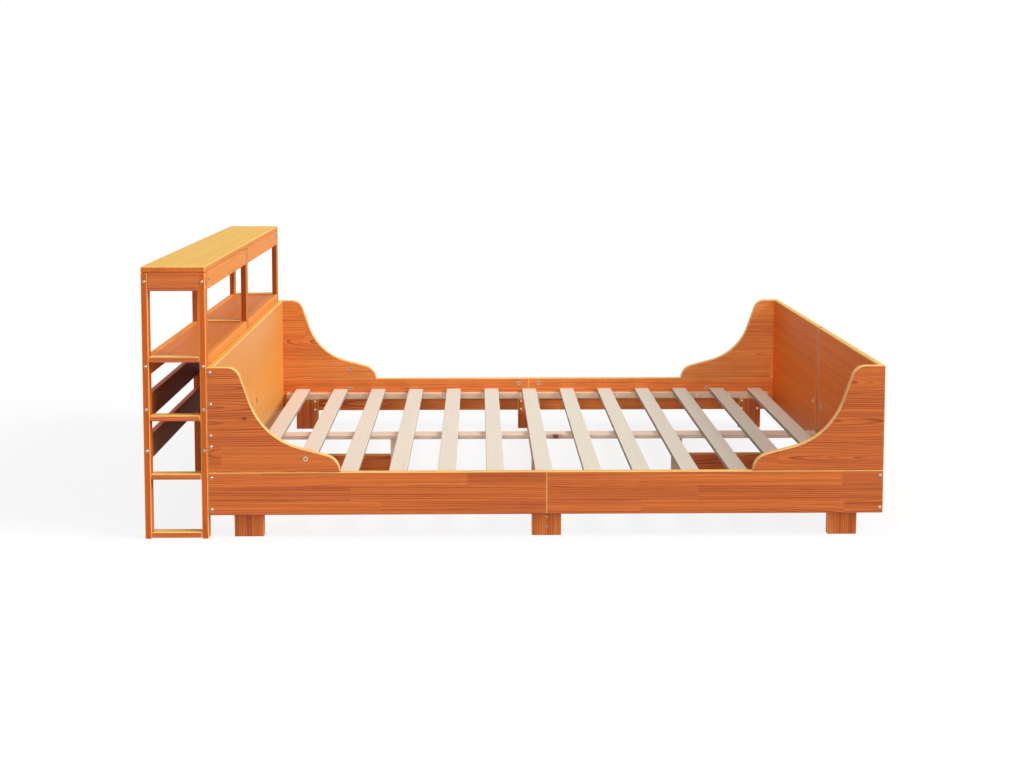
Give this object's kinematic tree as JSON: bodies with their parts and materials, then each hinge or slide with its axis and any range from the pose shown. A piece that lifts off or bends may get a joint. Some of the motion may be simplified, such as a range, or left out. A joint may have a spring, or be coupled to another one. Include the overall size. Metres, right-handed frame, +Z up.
{
  "type": "bookcase headboard bed",
  "caption": "Low slatted bed frame in stained pine with curved side wings at both ends and an open ladder-frame bookcase behind the headboard.",
  "frame": {"origin": "on the floor, under the middle of the whole bed", "axes": "+X from the bookcase to the footboard, +Y from the near side rail to the far one, +Z up"},
  "size_m": [2.245, 1.456, 0.83],
  "materials": {
    "stained_pine": "orange-brown stain under a thin satin lacquer",
    "bare_pine": "planed and left bare",
    "zinc_steel": "zinc plated",
    "screw_steel": "zinc plated, slightly dull"
  },
  "bodies": {
    "root": {"beam_legs": "bare_pine", "bolts": "zinc_steel", "centre_beam": "bare_pine", "cross_apron_far": "stained_pine", "cross_apron_middle": "stained_pine", "cross_apron_near": "stained_pine", "cross_boards": "stained_pine", "dowels": "bare_pine", "feet_far": "stained_pine", "feet_near": "stained_pine", "footboard_lower_far": "stained_pine", "footboard_lower_near": "stained_pine", "footboard_stile": "stained_pine", "footboard_upper_far": "stained_pine", "footboard_upper_near": "stained_pine", "headboard_lower_far": "stained_pine", "headboard_lower_near": "stained_pine", "headboard_upper_far": "stained_pine", "headboard_upper_near": "stained_pine", "ledgers": "bare_pine", "lower_board_back_far": "stained_pine", "lower_board_back_near": "stained_pine", "lower_board_front_far": "stained_pine", "lower_board_front_near": "stained_pine", "lower_boards": "stained_pine", "nuts": "zinc_steel", "post_far_back": "stained_pine", "post_far_front": "stained_pine", "post_middle_back": "stained_pine", "post_middle_front": "stained_pine", "post_near_back": "stained_pine", "post_near_front": "stained_pine", "rungs_far": "stained_pine", "rungs_middle": "stained_pine", "rungs_near": "stained_pine", "screws": "screw_steel", "shelf_far": "stained_pine", "shelf_near": "stained_pine", "shelf_rail_back_far": "stained_pine", "shelf_rail_back_near": "stained_pine", "shelf_rail_front_far": "stained_pine", "shelf_rail_front_near": "stained_pine", "side_rail_far_foot": "stained_pine", "side_rail_far_head": "stained_pine", "side_rail_near_foot": "stained_pine", "side_rail_near_head": "stained_pine", "slats": "bare_pine", "top_apron_back_far": "stained_pine", "top_apron_back_near": "stained_pine", "top_apron_front_far": "stained_pine", "top_apron_front_near": "stained_pine", "top_board": "stained_pine", "upper_board_back_far": "stained_pine", "upper_board_back_near": "stained_pine", "upper_board_front_far": "stained_pine", "upper_board_front_near": "stained_pine", "wing_far_foot": "stained_pine", "wing_far_head": "stained_pine", "wing_near_foot": "stained_pine", "wing_near_head": "stained_pine"}
  },
  "joints": []
}
